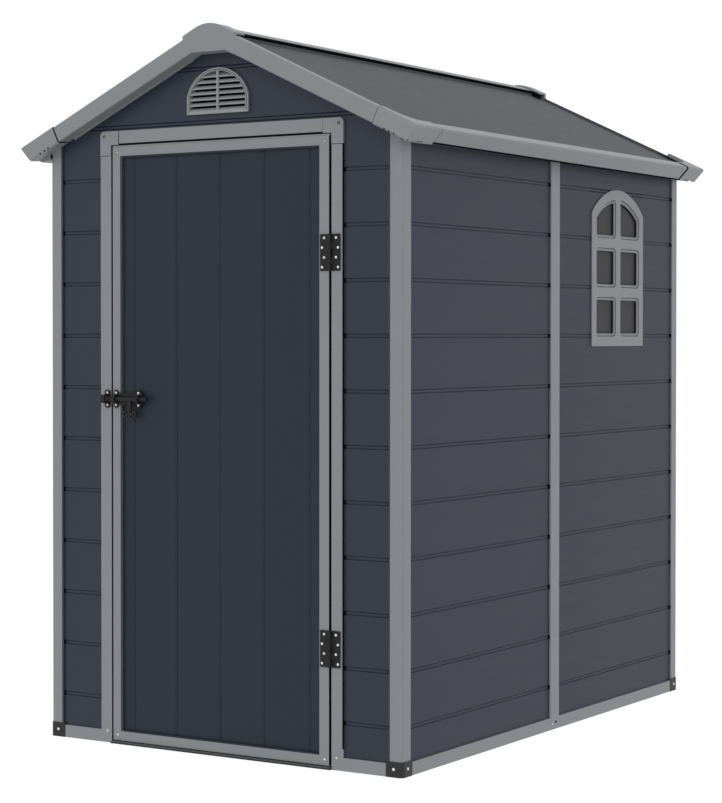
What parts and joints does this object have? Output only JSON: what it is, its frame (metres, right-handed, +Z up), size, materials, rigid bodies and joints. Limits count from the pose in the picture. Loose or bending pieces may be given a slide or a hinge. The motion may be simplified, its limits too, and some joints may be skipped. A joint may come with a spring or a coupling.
{
  "type": "plastic tool shed",
  "caption": "Gabled plastic tool shed of boards and moulded trims, with a hinged front door, a bolt latch, an arched side window and louvred gable vents.",
  "frame": {"origin": "on the ground, below the centre of the shed", "axes": "+X to the right seen from the front, the door faces -Y, +Z up"},
  "size_m": [1.341, 1.899, 2.0485],
  "materials": {
    "trim": "satin moulded grey",
    "boards": "matt dark slate grey, fine grain",
    "door_boards": "matt dark slate grey, fine grain",
    "roof": "matt mid grey",
    "hardware": "satin black powder coat",
    "base_plastic": "matt black",
    "pane": "opaque dark grey sheet",
    "vent": "satin light grey"
  },
  "bodies": {
    "shed": {"base_rails": "trim", "base_brackets": "base_plastic", "floor_panel": "base_plastic", "threshold": "base_plastic", "corner_posts": "trim", "mid_posts": "trim", "wall_left_front": "boards", "wall_left_rear": "boards", "wall_right_front": "boards", "wall_right_rear": "boards", "rear_wall": "boards", "front_wall_left": "boards", "front_wall_right": "boards", "front_gable": "boards", "door_jambs": "trim", "door_header": "trim", "door_frame_corners": "trim", "hinge_frame_leaves": "hardware", "latch_keeper": "hardware", "window_frame": "trim", "window_pane": "pane", "gable_vents": "vent", "roof_panel_left": "roof", "roof_panel_right": "roof", "eave_trims": "trim", "rake_trims_front": "trim", "rake_trims_rear": "trim", "roof_corner_caps": "trim", "ridge_cap": "trim", "roof_peaks": "trim", "ridge_beam": "trim"},
    "door": {"door_stiles": "trim", "door_rails": "trim", "door_panel": "door_boards", "hinge_door_leaves": "hardware", "latch_plate": "hardware"},
    "bolt": {"latch_bolt": "hardware"}
  },
  "joints": [
    {"name": "door_hinge", "type": "hinge", "parent": "shed", "child": "door", "pos_m": [0.3735, -0.906, 0.868], "axis": [0, 0, 1], "range_deg": [0, 160]},
    {"name": "bolt_slide", "type": "slide", "parent": "door", "child": "bolt", "axis": [-1, 0, 0], "range_m": [0, 0.03]}
  ]
}
